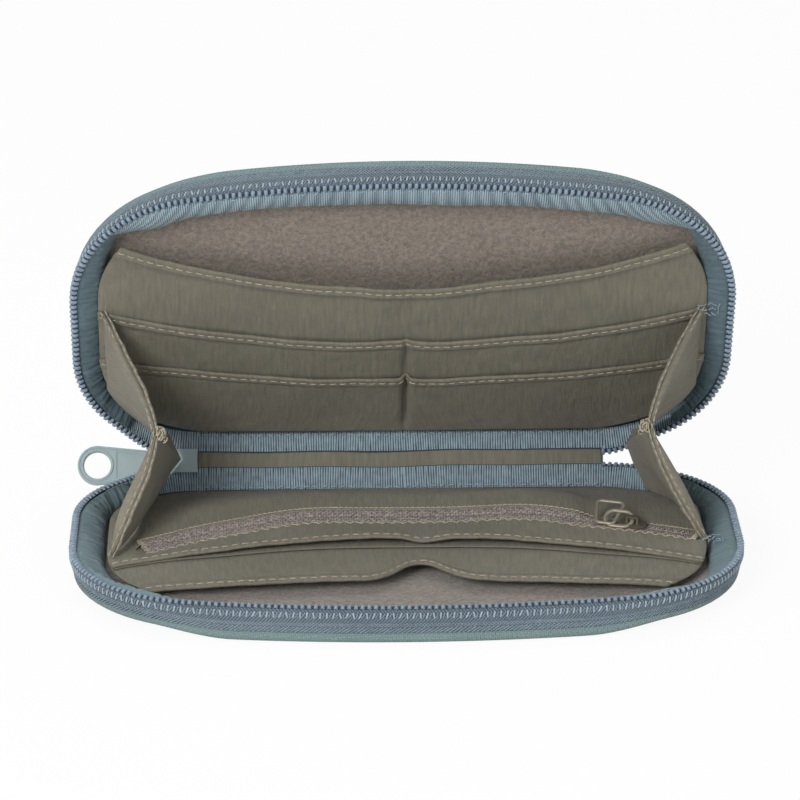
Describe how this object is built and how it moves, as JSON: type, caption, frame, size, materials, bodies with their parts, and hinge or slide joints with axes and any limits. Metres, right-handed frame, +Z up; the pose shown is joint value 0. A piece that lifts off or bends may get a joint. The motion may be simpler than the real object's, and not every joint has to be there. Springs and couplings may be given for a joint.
{
  "type": "travel wallet",
  "caption": "Zip-around travel wallet that opens like a clamshell, with a phone pocket, card slots, a banknote compartment, a zipped coin pouch and folded side gussets.",
  "frame": {"origin": "middle of the flat underside of the lower cover, between its spine edge and its opening edge", "axes": "+X along the spine to the right of someone who looks into the open wallet, +Y from the opening edge to the spine, +Z up"},
  "size_m": [0.1952, 0.1178, 0.1163],
  "materials": {
    "canvas": "matt coated canvas",
    "foam": "soft padding, not seen",
    "fleece": "short brushed pile",
    "zip_tape": "herringbone woven tape",
    "zip_coil": "nylon coil with a slight sheen",
    "side_lining": "smooth lining with a soft sheen",
    "ribbon": "ribbed grosgrain",
    "pocket_cloth": "fine plain weave",
    "spine_lining": "fine plain weave",
    "coin_zip": "woven zip tape and nylon coil",
    "enamel": "satin enamel",
    "pull": "moulded, satin",
    "painted_wire": "satin enamel"
  },
  "bodies": {
    "lower_half": {"lower_cover": "canvas", "lower_foam": "foam", "lower_cover_lining": "fleece", "lower_zip_tape": "zip_tape", "lower_zip_coil": "zip_coil", "lower_side_lining_left": "side_lining", "lower_side_lining_right": "side_lining", "lower_front_binding": "ribbon", "banknote_panel": "pocket_cloth", "coin_pouch_back": "pocket_cloth", "coin_pouch_top": "pocket_cloth", "coin_pouch_front": "pocket_cloth", "coin_zip_rear_tape": "coin_zip", "coin_zip_front_tape": "coin_zip", "coin_zip_coil": "coin_zip"},
    "spine": {"spine_panel": "canvas", "spine_lining": "spine_lining", "lower_spine_ribbon": "ribbon", "upper_spine_ribbon": "ribbon", "zip_slider": "enamel", "gusset_left": "pocket_cloth", "gusset_right": "pocket_cloth"},
    "upper_half": {"upper_cover": "canvas", "upper_foam": "foam", "upper_cover_lining": "fleece", "upper_zip_tape": "zip_tape", "upper_zip_coil": "zip_coil", "upper_side_lining_left": "side_lining", "upper_side_lining_right": "side_lining", "upper_front_binding": "ribbon", "phone_pocket": "pocket_cloth", "upper_card_row": "pocket_cloth", "lower_card_row": "pocket_cloth"},
    "zip_pull": {"zip_pull": "pull"},
    "coin_slider": {"coin_slider": "painted_wire"},
    "coin_link": {"coin_link": "painted_wire"},
    "coin_ring": {"coin_ring": "painted_wire"}
  },
  "joints": [
    {"name": "spine_fold", "type": "hinge", "parent": "lower_half", "child": "spine", "pos_m": [0, 0.0525, 0.0012], "axis": [-1, 0, 0], "range_deg": [-34, 5]},
    {"name": "upper_fold", "type": "hinge", "parent": "spine", "child": "upper_half", "pos_m": [0, 0.06458, 0.01911], "axis": [-1, 0, 0], "range_deg": [-34, 5], "deforming": ["gusset_left", "gusset_right"]},
    {"name": "pull_swing", "type": "hinge", "parent": "spine", "child": "zip_pull", "pos_m": [-0.0669, 0.06061, 0.00876], "axis": [0, -0.5592, -0.829], "range_deg": [0, 170]},
    {"name": "coin_slider_travel", "type": "hinge", "parent": "lower_half", "child": "coin_slider", "pos_m": [0.006, -0.1715, 0.011], "axis": [0, 0, 1], "range_deg": [0, 39]},
    {"name": "link_swing", "type": "hinge", "parent": "coin_slider", "child": "coin_link", "pos_m": [0.066, 0.00561, 0.01242], "axis": [0.3209, 0.9471, 0], "range_deg": [0, 130]},
    {"name": "ring_swing", "type": "hinge", "parent": "coin_link", "child": "coin_ring", "pos_m": [0.05791, 0.00635, 0.0114], "axis": [0.9471, -0.3209, 0], "range_deg": [0, 40]}
  ],
  "couplings": [
    {"joint": "spine_fold", "follows": "upper_fold", "ratio": 1}
  ]
}
